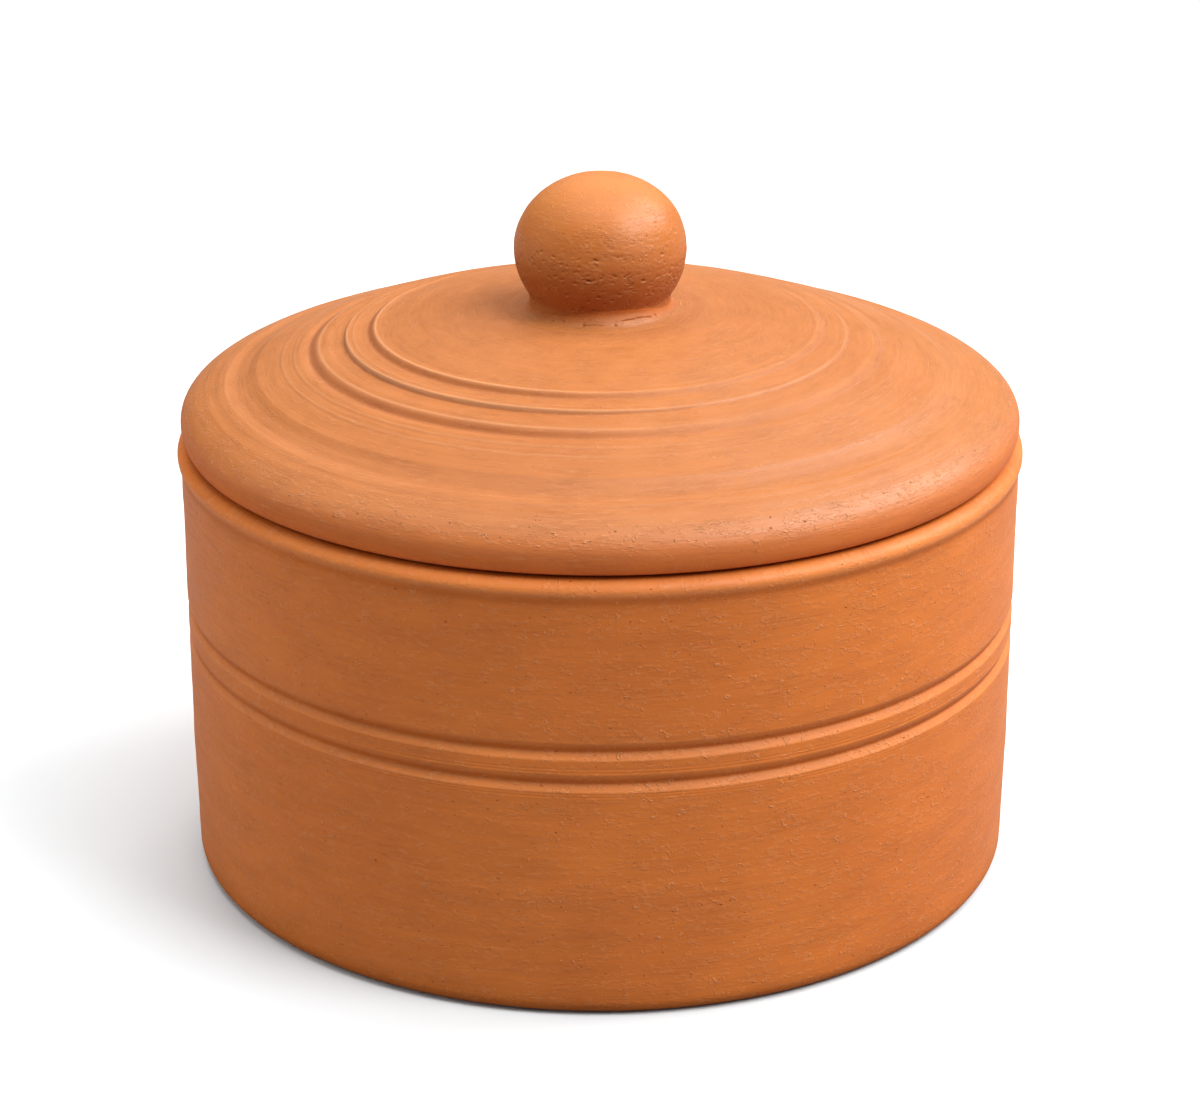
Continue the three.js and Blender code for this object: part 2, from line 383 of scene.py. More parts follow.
def ring_relief(distance):
    """Height that the throwing rings add to the lid, the painted highlight on their lips and the painted shade on
    their falls, by distance from their centre.
    """
    relief, highlight_and_wear, crease = (np.zeros_like(distance) for _ in range(3))
    for ring in THROWING_RINGS:
        lip, foot = ring["lip"], ring["lip"] + ring["fall"]
        inside = ring["rise"] * hump(distance, lip, 1.2)
        falling = ring["rise"] - (ring["rise"] + ring["drop"]) * smoothstep(lip, foot, distance)
        outside = -ring["drop"] * (1 - smoothstep(foot, foot + ring["run"], distance))
        relief = relief + np.where(distance < lip, inside, np.where(distance < foot, falling, outside))
        highlight_and_wear = highlight_and_wear + ring["rise"] / 0.28 * hump(distance, lip, 0.3)
        crease = crease + ring["shade"] * hump(distance, foot - 0.3 * ring["fall"], 0.12 + 0.4 * ring["fall"])
    return relief, highlight_and_wear, crease


def dome_height(radius):
    """Height of the lid's dome, level where it leaves the land under the knob."""
    run = DOME_FOOT[0] - LAND_RADIUS
    t = (radius - LAND_RADIUS) / run
    shoulder = DOME_FOOT[1] - run / 3 * DOME_FOOT_SLOPE
    return LAND_HEIGHT * (1 - t) ** 2 * (1 + 2 * t) + shoulder * 3 * t**2 * (1 - t) + DOME_FOOT[1] * t**3


def lid_underside():
    """The underside of the lid: its hollow, the flat that rests on the rim, and the turn up to the edge."""
    turn = UNDERSIDE_EDGE - HOLLOW_TURN
    under_radius = np.linspace(LAND_RADIUS, turn, 12)
    under_dome = np.stack([under_radius, dome_height(under_radius) - LID_THICKNESS], 1)
    lifted = SEAT_HEIGHT + EDGE_LIFT
    seat_end, edge_start = (SEAT_EDGE, SEAT_HEIGHT), (SEAT_EDGE + 1, lifted)
    return chain(
        straight((0, LAND_HEIGHT - LID_THICKNESS), under_dome[0], 6),
        under_dome,
        oval((turn, SEAT_HEIGHT), HOLLOW_TURN, under_dome[-1, 1] - SEAT_HEIGHT, 90, 0, 1.0),
        straight((UNDERSIDE_EDGE, SEAT_HEIGHT), seat_end, 2.5),
        bend(seat_end, (SEAT_EDGE + 0.4, SEAT_HEIGHT), (SEAT_EDGE + 0.5, lifted), edge_start, 0.25),
        bend(edge_start, (82.9, lifted), (LID_RADIUS, SEAT_HEIGHT + 1.6), (LID_RADIUS, EDGE_MIDDLE), 0.3),
    )


def lid_top():
    """The top of the lid: its round edge, the hollow inside it, the dome and the land under the knob."""
    foot, crest = np.array(DOME_FOOT), np.array(CREST)
    rings_start, rings_end = RINGED_BAND
    dome_radius = np.r_[
        np.arange(LAND_RADIUS, rings_start, INNER_DOME_STEP),
        np.arange(rings_start, rings_end, RINGED_STEP),
        np.arange(rings_end, DOME_FOOT[0], OUTER_DOME_STEP),
    ]
    dome = np.stack([dome_radius, dome_height(dome_radius)], 1)
    hollow_run = (CREST[0] - DOME_FOOT[0]) / 3
    hollow = bend(foot, foot + hollow_run * np.array((1, -0.6)), crest - hollow_run * np.array((1, 0)), crest, 0.3)
    bulge = (LID_RADIUS - CREST[0]) / 2
    edge_top = crest + bulge * np.array((1, -0.35))
    edge = bend(crest, edge_top, (LID_RADIUS, (EDGE_MIDDLE + CREST[1]) / 2), (LID_RADIUS, EDGE_MIDDLE), 0.35)
    land = straight((LAND_RADIUS, LAND_HEIGHT), (0, LAND_HEIGHT), 2)
    return chain(edge[::-1], hollow[::-1], dome[::-1], land)


def make_lid():
    below = lid_underside()
    profile = chain(below, lid_top())
    radius, height = profile[:, :1], profile[:, 1:]
    angle = angles(LID_SIDES)
    on_top = smoothstep(-1, 1, np.arange(len(profile))[:, None] - len(below) - 4.0)

    # Throwing rings, fainter away from the left
    across, back = radius * np.sin(angle) - RINGS_CENTRE[0], -radius * np.cos(angle) - RINGS_CENTRE[1]
    distance = np.hypot(across, back) + band(radius, 20, 50, 70, 84) * wander(angle, 12, (2, 3, 4), 0.16)
    relief, highlight_and_wear, crease = ring_relief(distance)
    fade = on_top * band(radius, 20, 26, 78, 82)
    deeper_left = 0.27 + 0.73 * smoothstep(-0.25, 0.85, np.cos(angle - RINGS_DEEPEST))
    throwing = wander(distance, 14, (0.9, 1.3, 1.9, 2.6), 0.045) * smoothstep(20, 30, radius)
    uneven = wander(angle, 16, (2, 3), 0.1) * smoothstep(30, 70, radius)
    height = height + fade * (deeper_left * relief + throwing + uneven)

    # Edge not quite round
    rim = smoothstep(76, 84, radius) * smoothstep(SEAT_HEIGHT, SEAT_HEIGHT + 2, height)
    edge_share = on_top * hump(radius, 82, 4)
    radius = radius + rim * np.minimum(wander(angle, 18, (2, 3, 5), 0.05), 0.05)
    # Painted shade on the edge's low side and at its foot by the seat, round the knob, in the hollow inside the edge
    # and on the rings' falls; painted highlight on the rings' lips
    low_edge_shade = hump(height, SEAT_HEIGHT + EDGE_LIFT, 0.6) * smoothstep(80, 81, radius) * (1 - on_top)
    low_side_shade = smoothstep(78, 81, radius) * (1 - smoothstep(SEAT_HEIGHT + 2, SEAT_HEIGHT + 9.5, height))
    shade_round_knob, hollow_shade = 0.35 * hump(radius, 17, 5), 0.2 * hump(distance, 71.5, 2.2)
    marks = {
        "highlight_and_wear": fade * deeper_left * highlight_and_wear,
        "shade_tint": low_side_shade + 0.1 * fade * deeper_left * crease,
        "crease": fade * deeper_left * crease + low_edge_shade + on_top * (shade_round_knob + hollow_shade),
        "nicked": np.maximum(0.35, 1.3 * edge_share),
    }
    return turned_piece("thrown_lid", radius, height, LID_SIDES, marks)


def make_locating_ring():
    toe = RING_WALL / 2
    bore = RING_RADIUS - RING_WALL
    profile = chain(
        straight((bore, SEAT_HEIGHT), (bore, RING_FOOT + toe), 0.6),
        oval((bore + toe, RING_FOOT + toe), toe, toe, 180, 360, 0.5),
        straight((RING_RADIUS, RING_FOOT + toe), (RING_RADIUS, SEAT_HEIGHT), 0.6),
        straight((RING_RADIUS, SEAT_HEIGHT), (bore, SEAT_HEIGHT), 1.0)[:-1],
    )
    angle = angles(LID_SIDES)
    hanging = smoothstep(SEAT_HEIGHT, SEAT_HEIGHT - 4, profile[:, 1:])
    radius = profile[:, :1] - hanging * (0.25 + wander(angle, 21, (2, 3, 5), 0.12))
    # Painted shade where the flange meets the lid's underside
    marks = {"highlight_and_wear": hanging * 0.3, "crease": 1 - hanging, "nicked": 0.5 * hanging}
    return turned_piece("lid_flange", radius, profile[:, 1:], LID_SIDES, marks)


def knob_dents(angle, height):
    """Small dents and crumbs in the knob, drawn along by its turning, most of them round its lower half."""
    chance = np.random.default_rng(31)
    relief = np.zeros((height.size, angle.size))
    reach = 1.4
    for number in range(KNOB_DENTS):
        middle = KNOB_MIDDLE + chance.normal(-0.5, 5.0)
        turn = chance.uniform(-math.pi, math.pi) if number % 3 else math.radians(chance.normal(20, 40))
        width, tall = chance.uniform(0.17, 0.42), chance.uniform(0.14, 0.21)
        depth = chance.uniform(0.04, 0.2) * (1.0 if middle < KNOB_MIDDLE + 3 else 0.55)
        along = ((angle - turn + math.pi) % (2 * math.pi) - math.pi) * KNOB_RADIUS
        near = np.ix_(np.abs(height[:, 0] - middle) < reach, np.abs(along) < reach)
        level = height[near[0]][:, 0] + chance.normal(0, 0.2) * along[near[1]]
        across = hump(along[near[1]], 0, width)
        relief[near] += depth * across * (0.5 * hump(level, middle - 1.8 * tall, tall) - hump(level, middle, tall))
    return relief


def make_knob():
    neck_angle = math.degrees(math.acos(NECK_RADIUS / KNOB_RADIUS))
    lower_height = (KNOB_MIDDLE - NECK_TOP) / math.sin(math.radians(neck_angle))
    neck = chain(
        straight((NECK_RADIUS, LAND_HEIGHT), (NECK_RADIUS, NECK_TOP), 0.2),
        oval((0, KNOB_MIDDLE), KNOB_RADIUS, lower_height, -neck_angle, 0, 0.2),
    )
    neck[:, 0] = soften(neck[:, 0], 24)
    profile = chain(
        straight((0, LAND_HEIGHT), (NECK_RADIUS, LAND_HEIGHT), 4),
        neck,
        oval((0, KNOB_MIDDLE), KNOB_RADIUS, KNOB_TOP - KNOB_MIDDLE, 0, 90, 0.22),
    )
    profile[-1, 0] = 0
    radius, height = profile[:, :1], profile[:, 1:]
    angle = angles(KNOB_SIDES)
    on_ball = smoothstep(NECK_TOP - 1.5, NECK_TOP + 1, height) * smoothstep(0, 6, radius)
    high = smoothstep(KNOB_MIDDLE, KNOB_TOP - 2, height)
    fuller_right = 0.5 * high * np.clip(np.sin(angle), 0, 1)
    lumpy = wander(angle, 33, (2, 3, 4, 6), 0.06)
    lumpy = lumpy + wander(height + 0.8 * np.sin(angle), 34, (0.7, 1.1, 1.9), 0.025)
    dents = knob_dents(angle, height)
    relief = on_ball * (lumpy - 0.1 + fuller_right + dents)
    # Painted highlight on the crown and on the lips of the dents; painted shade, deeper and redder, round the lower
    # part and in the dents
    crown = smoothstep(KNOB_MIDDLE + 5, KNOB_TOP, height)
    low = hump(height, NECK_TOP + 4, 5)
    marks = {
        "highlight_and_wear": 0.35 * crown + np.clip(9 * dents, 0, 1),
        "shade_tint": 0.35 * low,
        "crease": 1.25 * low + np.clip(-9 * dents, 0, 2),
        "nicked": 0.6 + 0.35 * hump(height, KNOB_MIDDLE - 3, 6),
    }
    return turned_piece("knob_ball", radius + relief, height, KNOB_SIDES, marks)


def slip_relief(angle, down):
    """How far the slip stands off its flare, and where it is open, by angle and by degrees down its curve."""
    reach = NECK_RADIUS + 0.8
    relief, opened = (np.zeros(np.broadcast_shapes(angle.shape, down.shape)) for _ in range(2))
    turn = np.degrees(angle)
    for number, crack in enumerate(SLIP_CRACKS):
        along = (turn - crack["start"]) % 360
        length = crack["end"] - crack["start"]
        held = band(along, 0, 4, length - 3, length)
        arch = 3 * np.sin(math.pi * np.clip(along / length, 0, 1))
        line = crack["down"] + wander(angle, 41 + number, (7, 11, 23), 1.6) - arch
        away = np.radians(down - line) * SLIP_ROUND
        lip = 0.3 * band(away, 0.1, 0.4, 0.7, 1.6)
        relief = relief + held * crack["depth"] * (lip - hump(away, 0, crack["width"]))
        opened = np.maximum(opened, held * hump(away, 0, 1.2 * crack["width"]))
    for place, level, size in SLIP_HOLES:
        side = np.radians(turn_from(place, turn)) * reach
        hole = hump(np.hypot(side, np.radians(down - level) * SLIP_ROUND), 0, size)
        relief = relief - HOLE_DEPTH * hole
        opened = np.maximum(opened, hole)
    return relief, opened


def make_collar():
    angle = angles(COLLAR_SIDES)
    top = LAND_HEIGHT + SLIP_LEAST + SLIP_SWELL * (0.5 + 0.5 * np.cos(angle - SLIP_THICKEST)) ** 2.5
    neck_share = math.sqrt(1 - (NECK_RADIUS / KNOB_RADIUS) ** 2)
    below_middle = np.minimum((KNOB_MIDDLE - top) / (KNOB_MIDDLE - NECK_TOP), 1) * neck_share
    inner = KNOB_RADIUS * np.sqrt(1 - below_middle**2) - 0.3
    outer = COLLAR_RADIUS - 0.45 + wander(angle, 51, (2, 3, 5, 8, 13), 0.4)

    # The flare, down a quarter turn from the neck to a feathered foot on the lid
    down = np.linspace(0, 90, COLLAR_ROWS)[:, None]
    turn = np.radians(down)
    feather = 1 - smoothstep(70, 90, down)
    relief, opened = slip_relief(angle, down)
    lumps = wander(angle, 52, (4, 7, 12, 19), 0.05) + wander(angle + 0.05 * down, 53, (23, 31, 44), 0.025)
    stand = feather * smoothstep(4, 14, down) * (lumps + relief)
    lowest = LAND_HEIGHT + 0.02
    radius = outer - (outer - inner) * np.cos(turn) + stand * np.cos(turn)
    height = np.maximum(top - (top - lowest) * np.sin(turn) + stand * np.sin(turn), lowest)

    # Two rows up the neck before the flare, and one on the lid after it
    foot = np.full((1, COLLAR_SIDES), LAND_HEIGHT)
    radius = np.concatenate([inner + 0 * foot, inner + 0 * foot, radius, outer + 0 * foot])
    height = np.concatenate([foot, foot + 0.5 * (top - LAND_HEIGHT), height, foot])

    # The pale smear is slip that also carries a painted highlight on the lit right-front; painted shade, deeper and
    # redder, lies in the cracks and holes and on the flare's top under the knob
    smear = 0.55 * hump(turn_from(SMEAR_PLACE, np.degrees(angle)), 0, 22) * band(down, 14, 24, 48, 62)
    shaded = 1 - smoothstep(6, 60, down) + 0 * angle
    flare_marks = {"highlight_and_wear": smear * (1 - opened), "crease": 0.9 * opened + shaded, "shade_tint": 0.8 * shaded}
    marks = {mark: np.pad(grid, ((2, 1), (0, 0)), mode="edge")[::-1] for mark, grid in flare_marks.items()}
    marks["nicked"] = 0.6
    return turned_piece("slip_collar", radius[::-1], height[::-1], COLLAR_SIDES, marks)


class Wiring:
    """Adds nodes to a shader tree and joins them. A value is a number, a colour or another node's socket."""

    def __init__(self, tree):
        self.tree = tree

    def node(self, kind, **settings):
        made = self.tree.nodes.new(kind)
        for name, value in settings.items():
            setattr(made, name, value)
        return made

    def feed(self, socket, value):
        if isinstance(value, bpy.types.NodeSocket):
            self.tree.links.new(value, socket)
        else:
            socket.default_value = value

    def math(self, operation, first, second=0.0):
        made = self.node("ShaderNodeMath", operation=operation)
        self.feed(made.inputs[0], first)
        self.feed(made.inputs[1], second)
        return made.outputs[0]

    def times(self, *factors):
        total = factors[0]
        for factor in factors[1:]:
            total = self.math("MULTIPLY", total, factor)
        return total

    def vector(self, operation, first, second):
        made = self.node("ShaderNodeVectorMath", operation=operation)
        self.feed(made.inputs[0], first)
        self.feed(made.inputs[1], second)
        return made.outputs[0]

    def mix(self, share, first, second, blend="MIX"):
        made = self.node("ShaderNodeMix", data_type="RGBA", blend_type=blend)
        self.feed(made.inputs["Factor"], share)
        self.feed(made.inputs[6], first)
        self.feed(made.inputs[7], second)
        return made.outputs[2]

    def spread(self, value, low, high, to_low=0.0, to_high=1.0):
        made = self.node("ShaderNodeMapRange", interpolation_type="SMOOTHSTEP")
        given = {"Value": value, "From Min": low, "From Max": high, "To Min": to_low, "To Max": to_high}
        for name, number in given.items():
            self.feed(made.inputs[name], number)
        return made.outputs["Result"]

    def noise(self, place, scale, detail, roughness, output="Fac"):
        made = self.node("ShaderNodeTexNoise")
        self.feed(made.inputs["Vector"], place)
        self.feed(made.inputs["Scale"], scale)
        self.feed(made.inputs["Detail"], detail)
        self.feed(made.inputs["Roughness"], roughness)
        return made.outputs[output]

    def place(self):
        return self.node("ShaderNodeTexCoord").outputs["Object"]

    def mark(self, name):
        return self.node("ShaderNodeAttribute", attribute_name=name).outputs["Fac"]

    def wheel_place(self, radius_share, length, thickness):
        """A place drawn out round the wheel's axis, so that a texture there lies in bands along the turning."""
        x, y, z = self.node("ShaderNodeSeparateXYZ").outputs
        self.feed(x.node.inputs[0], self.place())
        radius = self.math("SQRT", self.math("ADD", self.times(x, x), self.times(y, y)))
        reach = self.math("DIVIDE", length, self.math("ADD", radius, 0.004))
        along = self.math("SUBTRACT", z, self.times(radius, radius_share))
        drawn = self.node("ShaderNodeCombineXYZ")
        self.feed(drawn.inputs["X"], self.times(x, reach))
        self.feed(drawn.inputs["Y"], self.times(y, reach))
        self.feed(drawn.inputs["Z"], self.math("DIVIDE", self.times(along, 1000.0), thickness))
        return drawn.outputs[0]

    def use(self, group, **values):
        made = self.node("ShaderNodeGroup", node_tree=group)
        for name, value in values.items():
            self.feed(made.inputs[name.replace("_", " ").title()], value)
        return made.outputs[0]


def new_group(name, inputs, output):
    """An empty node group with number inputs, given as name to default, and one number output."""
    group = bpy.data.node_groups.new(name, "ShaderNodeTree")
    for title, default in inputs.items():
        group.interface.new_socket(title, in_out="INPUT", socket_type="NodeSocketFloat").default_value = default
    group.interface.new_socket(output, in_out="OUTPUT", socket_type="NodeSocketFloat")
    wiring = Wiring(group)
    return group, wiring, wiring.node("NodeGroupInput").outputs, wiring.node("NodeGroupOutput").inputs[output]


def make_wheel_lines():
    """Fine lines that run round the wheel's axis. Radius Share is above 0 on a crown, below 0 on a wall."""
    defaults = {"Radius Share": 0.0, "Length": 3.0, "Thickness": 0.8}
    group, w, given, result = new_group("wheel_lines", defaults, "Lines")
    place = w.wheel_place(given["Radius Share"], given["Length"], given["Thickness"])
    w.feed(result, w.spread(w.noise(place, 1.0, 3.0, 0.6), 0.28, 0.72))
    return group


def make_scratches():
    """Thin crooked scratches, mostly along the wheel. Width is their share of the spacing, Amount the share shown."""
    defaults = {"Radius Share": 0.0, "Length": 20.0, "Thickness": 1.8, "Width": 0.1, "Amount": 0.4}
    group, w, given, result = new_group("scratches", defaults, "Scratches")
    place = w.wheel_place(given["Radius Share"], given["Length"], given["Thickness"])
    off_line = w.math("ABSOLUTE", w.math("SUBTRACT", w.noise(place, 1.0, 1.0, 0.5), 0.5))
    line = w.spread(off_line, given["Width"], 0.0)
    bar = w.math("SUBTRACT", 0.72, w.times(given["Amount"], 0.44))
    elsewhere = w.vector("ADD", place, (31.0, 17.0, 5.0))
    shown = w.spread(w.noise(elsewhere, 0.9, 1.0, 0.5), bar, w.math("ADD", bar, 0.06))
    w.feed(result, w.times(line, shown))
    return group


def make_torn_skin():
    """Small raised scraps of skin with crisp edges, drawn along the wheel. Amount is the share that is torn."""
    defaults = {"Radius Share": 0.0, "Length": 60.0, "Thickness": 0.7, "Amount": 0.5}
    group, w, given, result = new_group("torn_skin", defaults, "Scraps")
    place = w.wheel_place(given["Radius Share"], given["Length"], given["Thickness"])
    scraps = w.spread(w.noise(place, 1.0, 3.0, 0.6), 0.5, 0.57)
    bar = w.math("SUBTRACT", 0.72, w.times(given["Amount"], 0.44))
    elsewhere = w.vector("ADD", place, (13.0, 7.0, 29.0))
    torn = w.spread(w.noise(elsewhere, 0.4, 1.0, 0.5), bar, w.math("ADD", bar, 0.2))
    w.feed(result, w.times(scraps, torn))
    return group


def make_grit():
    """Scattered spots of uneven shape. Spacing and Size are in millimetres, Amount is the share that shows."""
    defaults = {"Spacing": 2.0, "Size": 0.25, "Amount": 0.3, "Shift": 0.0}
    group, w, given, result = new_group("grit", defaults, "Spots")
    crooked = w.vector("SUBTRACT", w.noise(w.place(), 1500.0, 1.0, 0.5, "Color"), (0.5, 0.5, 0.5))
    place = w.vector("ADD", w.place(), w.vector("MULTIPLY", crooked, (0.0007, 0.0007, 0.0004)))
    shift = w.node("ShaderNodeCombineXYZ")
    w.feed(shift.inputs["X"], given["Shift"])
    cells = w.node("ShaderNodeTexVoronoi")
    w.feed(cells.inputs["Vector"], w.vector("ADD", w.vector("MULTIPLY", place, (1.0, 1.0, 1.4)), shift.outputs[0]))
    w.feed(cells.inputs["Scale"], w.math("DIVIDE", 1000.0, given["Spacing"]))
    red, green, _ = w.node("ShaderNodeSeparateColor").outputs
    w.feed(red.node.inputs[0], cells.outputs["Color"])
    size = w.math("DIVIDE", w.times(given["Size"], w.math("ADD", 0.6, w.times(green, 0.8))), given["Spacing"])
    spot = w.spread(w.math("DIVIDE", cells.outputs["Distance"], size), 1.0, 0.3)
    w.feed(result, w.times(spot, w.math("LESS_THAN", red, given["Amount"])))
    return group


def make_firing_clouds():
    """Broad cloudy changes of tone from the kiln. Size is in millimetres."""
    group, w, given, result = new_group("firing_clouds", {"Size": 60.0}, "Clouds")
    w.feed(result, w.spread(w.noise(w.place(), w.math("DIVIDE", 1000.0, given["Size"]), 3.0, 0.55), 0.3, 0.7))
    return group


WHEEL_LINES = make_wheel_lines()
SCRATCHES = make_scratches()
TORN_SKIN = make_torn_skin()
GRIT = make_grit()
FIRING_CLOUDS = make_firing_clouds()


def clay_finish(name, pale, deep, fleck, radius_share, turns, line_share, grit_share, roughness, gloss):
    """Fired clay: clouded tone, wheel lines, torn skin and grit, with painted highlights on lips and painted shade in
    creases and undersides.

    radius_share is as in the wheel lines. turns sets how many marks follow each other round the wheel, line_share how
    plain the wheel's lines are, and grit_share how many pits and grains there are.
    """
    finish = bpy.data.materials.new(name)
    finish.use_nodes = True
    finish.node_tree.nodes.clear()
    w = Wiring(finish.node_tree)

    def along_wheel(group, length, **values):
        return w.use(group, radius_share=radius_share, length=length * turns, **values)

    highlight_and_wear, crease, nicked, shade_tint = (w.mark(mark) for mark in ("highlight_and_wear", "crease", "nicked", "shade_tint"))
    clouds = w.use(FIRING_CLOUDS, size=50.0)
    patches = along_wheel(WHEEL_LINES, 0.35, thickness=4.5)
    lines = along_wheel(WHEEL_LINES, 0.15, thickness=1.1)
    drag = along_wheel(WHEEL_LINES, 0.6, thickness=0.36)
    scraps = w.times(along_wheel(TORN_SKIN, 3.2, thickness=0.75, amount=0.75), nicked)
    scores = along_wheel(SCRATCHES, 0.2, thickness=2.3, width=0.025, amount=0.25)
    pits = w.times(w.use(GRIT, spacing=0.9, size=0.22, amount=0.055 * grit_share, shift=0.0), nicked)
    grains = w.times(w.use(GRIT, spacing=0.9, size=0.21, amount=0.1 * grit_share, shift=0.37), nicked)
    ticks = w.times(along_wheel(SCRATCHES, 2.4, thickness=1.9, width=0.06, amount=0.18), nicked)
    sand = w.noise(w.place(), 2200.0, 2.0, 0.6)
    strokes = along_wheel(WHEEL_LINES, 1.2, thickness=0.45)
    dashed = w.spread(patches, 0.45, 0.8)
    dark_dashes = w.times(w.spread(strokes, 0.7, 0.95), dashed)
    pale_dashes = w.times(w.spread(strokes, 0.3, 0.05), dashed)

    colour = w.mix(w.times(clouds, 0.6), pale, deep)
    # Painted shade: shaded undersides and creases are turned a deeper, redder colour here
    colour = w.mix(shade_tint, colour, SHADE_TINT_COLOUR)
    for mark, share, shade in (
        (patches, 0.7, PATCH_SHADE),
        (lines, line_share, LINE_SHADE),
        (drag, 0.6 * line_share, DRAG_SHADE),
        (dark_dashes, 1.5 * line_share, DASH_SHADE),
        (pale_dashes, 0.8 * line_share, fleck),
        (sand, 0.18, SAND_SHADE),
        (scores, 0.15, SCORE_SHADE),
        # Painted shade in grooves, hollows, cracks, undersides and round the heel and knob
        (crease, 0.35, CREASE_SHADE),
        # Painted highlight on lips, up-facing facets and the knob's crown, with some pale wear and slip
        (highlight_and_wear, 0.5, fleck),
        (scraps, 0.09, fleck),
        (ticks, 0.22, fleck),
        (pits, 0.45, PIT_SHADE),
        (grains, 0.6, fleck),
    ):
        colour = w.mix(w.times(mark, share), colour, shade, "MIX" if shade is fleck else "MULTIPLY")

    rough = w.math("ADD", roughness, w.times(w.math("SUBTRACT", drag, 0.5), 0.14))
    rough = w.math("SUBTRACT", rough, w.times(highlight_and_wear, 0.06))
    dusty = w.math("MAXIMUM", w.math("MAXIMUM", pits, shade_tint), crease)
    rough = w.math("ADD", rough, w.times(dusty, 0.42))

    relief = w.times(lines, 0.02)
    for mark, height in (
        (drag, 0.012),
        (dark_dashes, -0.02),
        (sand, 0.018),
        (scraps, 0.05),
        (scores, -0.02),
        (ticks, 0.11),
        (pits, -0.18),
        (grains, 0.14),
    ):
        relief = w.math("ADD", relief, w.times(mark, height))
    bump = w.node("ShaderNodeBump")
    bump.inputs["Strength"].default_value = 1.0
    bump.inputs["Distance"].default_value = METRES
    w.feed(bump.inputs["Height"], relief)

    clay = w.node("ShaderNodeBsdfPrincipled")
    clay.inputs["Specular IOR Level"].default_value = gloss
    w.feed(clay.inputs["Base Color"], colour)
    w.feed(clay.inputs["Roughness"], rough)
    w.feed(clay.inputs["Normal"], bump.outputs["Normal"])
    output = w.node("ShaderNodeOutputMaterial")
    w.feed(output.inputs["Surface"], clay.outputs["BSDF"])
    return finish


def make_floor():
    """A floor of pale paper, white in view away from the pot, which throws little light back on the clay."""
    ground = bmesh.new()
    bmesh.ops.create_grid(ground, x_segments=8, y_segments=8, size=FLOOR_SIZE)
    mesh = bpy.data.meshes.new("studio_floor")
    ground.to_mesh(mesh)
    ground.free()
    floor = bpy.data.objects.new("studio_floor", mesh)
    bpy.context.scene.collection.objects.link(floor)
    paper = bpy.data.materials.new("floor_paper")
    paper.use_nodes = True
    paper.node_tree.nodes.clear()
    w = Wiring(paper.node_tree)
    near, bounced = w.node("ShaderNodeBsdfDiffuse"), w.node("ShaderNodeBsdfDiffuse")
    near.inputs["Color"].default_value = FLOOR_SEEN
    bounced.inputs["Color"].default_value = FLOOR_BOUNCED
    closeness = w.node("ShaderNodeTexGradient", gradient_type="SPHERICAL")
    w.feed(closeness.inputs["Vector"], w.place())
    seen, either = w.node("ShaderNodeMixShader"), w.node("ShaderNodeMixShader")
    w.feed(seen.inputs["Fac"], w.spread(closeness.outputs["Fac"], 0.4, 0.05))
    w.feed(seen.inputs[1], near.outputs["BSDF"])
    w.feed(seen.inputs[2], w.node("ShaderNodeEmission").outputs["Emission"])
    w.feed(either.inputs["Fac"], w.node("ShaderNodeLightPath").outputs["Is Camera Ray"])
    w.feed(either.inputs[1], bounced.outputs["BSDF"])
    w.feed(either.inputs[2], seen.outputs["Shader"])
    w.feed(w.node("ShaderNodeOutputMaterial").inputs["Surface"], either.outputs["Shader"])
    mesh.materials.append(paper)


def make_room():
    """A white room, dimmer as a light than it looks, that isn't mirrored in the clay."""
    room = bpy.data.worlds.new("studio_room")
    room.use_nodes = True
    background = room.node_tree.nodes["Background"]
    background.inputs["Color"].default_value = (1, 1, 1, 1)
    w = Wiring(room.node_tree)
    in_view = w.node("ShaderNodeLightPath").outputs["Is Camera Ray"]
    w.feed(background.inputs["Strength"], w.spread(in_view, 0.0, 1.0, ROOM_LIGHT, 1.0))
    bpy.context.scene.world = room
    room.cycles_visibility.glossy = False
    bpy.context.scene.view_settings.view_transform = "Standard"


def make_lights():
    for softbox in SOFTBOXES:
        lamp = bpy.data.lights.new(softbox["name"], "AREA")
        lamp.size = softbox["size"]
        lamp.energy = softbox["power"]
        light = bpy.data.objects.new(softbox["name"], lamp)
        light.visible_glossy = softbox["sheen"]
        light.location = softbox["place"]
        light.rotation_euler = (Vector(LIGHTS_AIM) - light.location).to_track_quat("-Z", "Y").to_euler()
        bpy.context.scene.collection.objects.link(light)


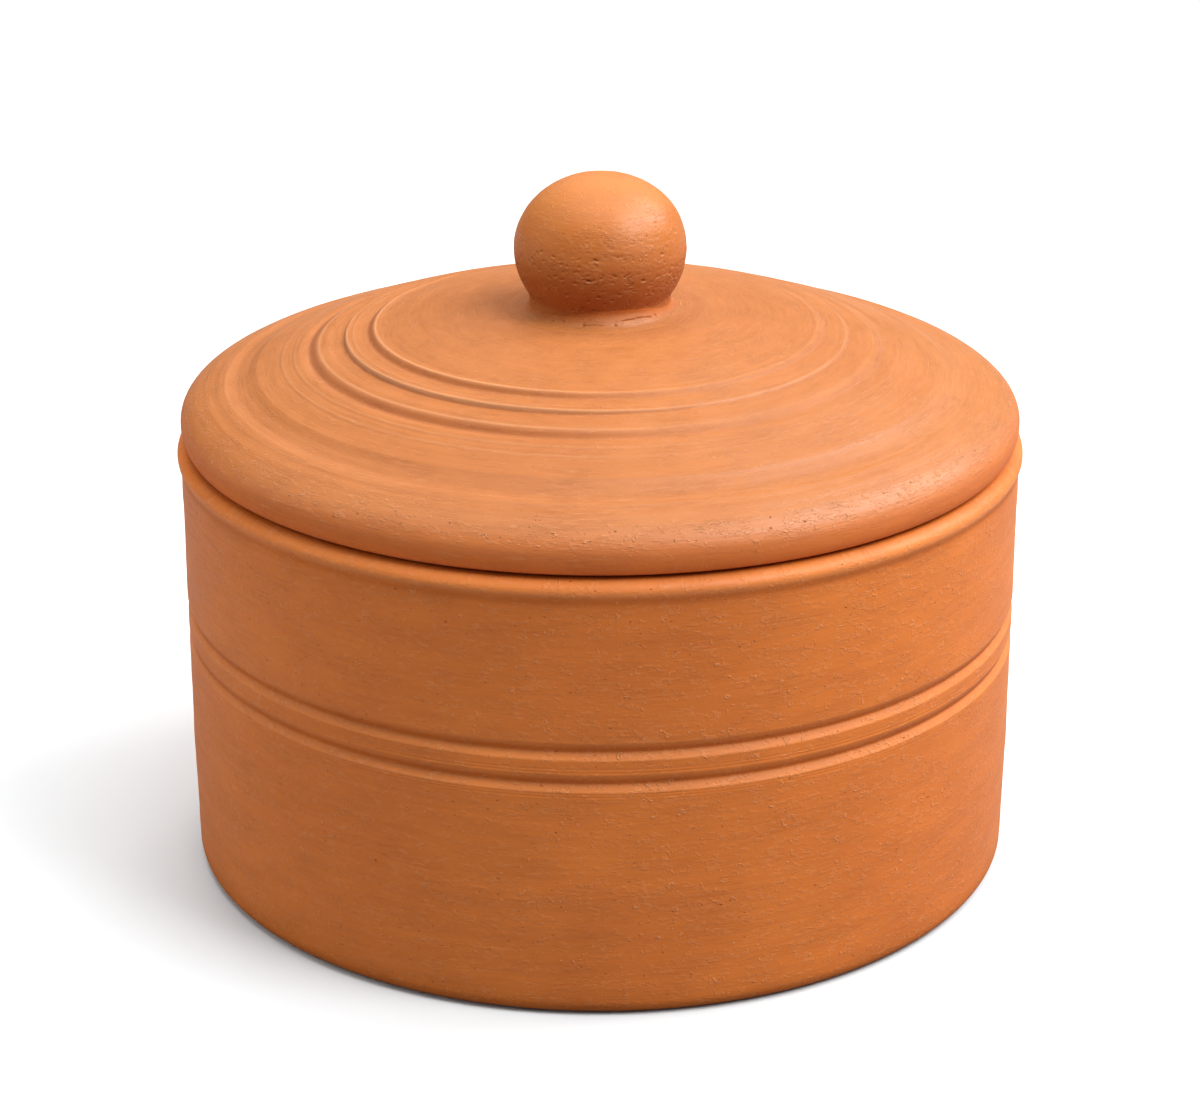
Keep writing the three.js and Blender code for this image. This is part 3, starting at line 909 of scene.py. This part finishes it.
def make_camera():
    lens = bpy.data.cameras.new("camera")
    lens.sensor_width = 36.0
    lens.lens = FOCAL_PIXELS / IMAGE_WIDTH * lens.sensor_width
    lens.clip_start = 0.01
    camera = bpy.data.objects.new("camera", lens)
    target = Vector(CAMERA_TARGET)
    back = Vector((0, -math.cos(CAMERA_ELEVATION), math.sin(CAMERA_ELEVATION)))
    camera.location = (target + back * CAMERA_DISTANCE) * METRES
    camera.rotation_euler = (-back).to_track_quat("-Z", "Y").to_euler()
    bpy.context.scene.collection.objects.link(camera)
    bpy.context.scene.camera = camera


# All four finishes are one clay. The wall's more saturated colour is painted shade for its upright face, and the
# lid's paler, less saturated colour is a painted sheen.
pot_clay = clay_finish(
    "pot_clay",
    pale=(0.63, 0.167, 0.02, 1),
    deep=(0.54, 0.13, 0.0126, 1),
    fleck=(0.71, 0.335, 0.15, 1),
    radius_share=-0.4,
    turns=19.0,
    line_share=0.13,
    grit_share=1.0,
    roughness=0.55,
    gloss=0.36,
)
lid_clay = clay_finish(
    "lid_clay",
    pale=(0.43, 0.153, 0.0465, 1),
    deep=(0.378, 0.12, 0.0295, 1),
    fleck=LID_FLECK,
    radius_share=1.0,
    turns=19.0,
    line_share=0.18,
    grit_share=1.0,
    roughness=0.44,
    gloss=0.5,
)
knob_clay = clay_finish(
    "knob_clay",
    pale=(0.478, 0.15, 0.03, 1),
    deep=(0.413, 0.111, 0.017, 1),
    fleck=LID_FLECK,
    radius_share=0.5,
    turns=5.0,
    line_share=0.08,
    grit_share=2.0,
    roughness=0.44,
    gloss=0.38,
)
slip = clay_finish(
    "slip",
    pale=(0.43, 0.152, 0.042, 1),
    deep=(0.375, 0.12, 0.027, 1),
    fleck=(0.62, 0.28, 0.14, 1),
    radius_share=1.0,
    turns=5.0,
    line_share=0.12,
    grit_share=1.0,
    roughness=0.55,
    gloss=0.4,
)

place_piece(make_pot(), "pot", "pot_body", pot_clay)
place_piece(make_lid(), "lid", "lid_plate", lid_clay)
place_piece(make_locating_ring(), "lid", "lid_locating_ring", lid_clay)
place_piece(make_knob(), "lid", "knob", knob_clay)
place_piece(make_collar(), "lid", "knob_collar", slip)
make_floor()
make_room()
make_lights()
make_camera()
